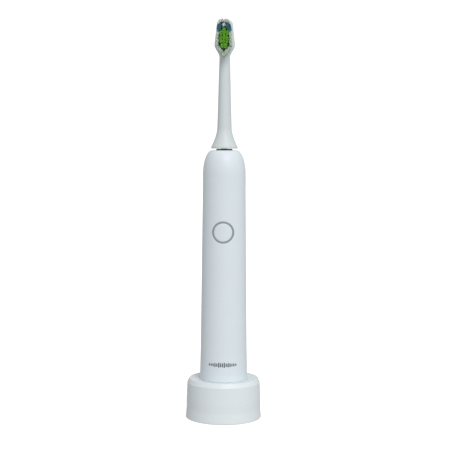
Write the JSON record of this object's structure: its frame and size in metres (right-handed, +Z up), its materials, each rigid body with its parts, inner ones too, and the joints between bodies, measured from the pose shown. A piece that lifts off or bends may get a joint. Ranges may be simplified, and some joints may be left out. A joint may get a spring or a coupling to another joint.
{
  "type": "electric toothbrush on charger",
  "caption": "Slim round electric toothbrush with a swinging, removable brush head, a press button and an induction charging base that it lifts off.",
  "frame": {"origin": "centre of the charger's footprint, on the surface its rubber feet stand on", "axes": "+Z up along the common axis of charger, handle and brush head; the button and the bristles face -Y; the cord gland faces +Y"},
  "size_m": [0.0472, 0.0472, 0.2469],
  "materials": {
    "white_gloss": "glossy moulded white ABS",
    "handle_white": "satin-gloss moulded white ABS",
    "neck_white": "glossy moulded white polypropylene",
    "base_grey": "fine matt texture",
    "ring_grey": "matt overmoulded elastomer",
    "gland_grey": "matt elastomer",
    "dark_rubber": "matt rubber",
    "screw_steel": "zinc-plated steel",
    "shaft_steel": "ground stainless steel",
    "motor_steel": "drawn plated steel",
    "nickel_strip": "rolled nickel strip",
    "copper_wire": "enamelled copper wire",
    "bearing_bronze": "sintered bronze",
    "ferrite": "dull ground ferrite",
    "magnet_dark": "plated magnet",
    "bobbin_nylon": "natural nylon",
    "chassis_grey": "fine matt texture",
    "circuit_board": "solder mask",
    "chip_black": "moulded epoxy",
    "capacitor_sleeve": "shrink sleeve",
    "battery_wrap": "shrink sleeve",
    "lead_red": "PVC insulation",
    "bristle_white": "translucent nylon filaments",
    "bristle_green": "translucent nylon filaments",
    "bristle_pale": "translucent nylon filaments",
    "bristle_blue": "translucent nylon filaments"
  },
  "bodies": {
    "charger": {"charger_housing": "white_gloss", "charger_base_plate": "base_grey", "rubber_feet": "dark_rubber", "base_screws": "screw_steel", "cord_gland": "gland_grey", "primary_coil": "copper_wire", "primary_bobbin": "bobbin_nylon", "ferrite_core": "ferrite", "charger_pcb": "circuit_board", "charger_capacitor": "capacitor_sleeve", "charger_transistor": "chip_black"},
    "handle": {"handle_shell": "handle_white", "end_cap": "white_gloss", "end_cap_seal": "dark_rubber", "chassis": "chassis_grey", "chassis_screws": "screw_steel", "battery_cell": "battery_wrap", "battery_tabs": "nickel_strip", "main_pcb": "circuit_board", "control_chip": "chip_black", "pcb_capacitor": "capacitor_sleeve", "tact_switch": "chip_black", "button_seal_ring": "ring_grey", "receiver_bobbin": "bobbin_nylon", "receiver_coil": "copper_wire", "coil_leads": "copper_wire", "motor_leads": "lead_red", "motor_can": "motor_steel", "motor_end_bell": "chassis_grey", "stator_coil": "copper_wire", "motor_cushions": "dark_rubber", "rear_bearing": "bearing_bronze", "front_bearing": "bearing_bronze", "shaft_seal": "dark_rubber"},
    "drive_shaft": {"drive_shaft": "shaft_steel", "rotor_core": "motor_steel", "rotor_magnets": "magnet_dark"},
    "power_button": {"button_cap": "handle_white", "switch_plunger": "bobbin_nylon"},
    "brush_head": {"brush_head_body": "neck_white", "coupling_insert": "bobbin_nylon", "retaining_clip": "shaft_steel", "tufts_white": "bristle_white", "tufts_green": "bristle_green", "tufts_pale": "bristle_pale", "tufts_blue": "bristle_blue"}
  },
  "joints": [
    {"name": "handle_lift", "type": "slide", "parent": "charger", "child": "handle", "axis": [0, 0, 1], "range_m": [0, 0.08]},
    {"name": "shaft_swing", "type": "hinge", "parent": "handle", "child": "drive_shaft", "pos_m": [0, 0, 0.14], "axis": [0, 0, 1], "range_deg": [-5, 5], "stiffness_Nm_per_rad": 0.05},
    {"name": "brush_head_pull", "type": "slide", "parent": "drive_shaft", "child": "brush_head", "axis": [0, 0, 1], "range_m": [0, 0.03]},
    {"name": "button_press", "type": "slide", "parent": "handle", "child": "power_button", "axis": [0, 1, 0], "range_m": [0, 0.0005], "stiffness_N_per_m": 2000}
  ]
}
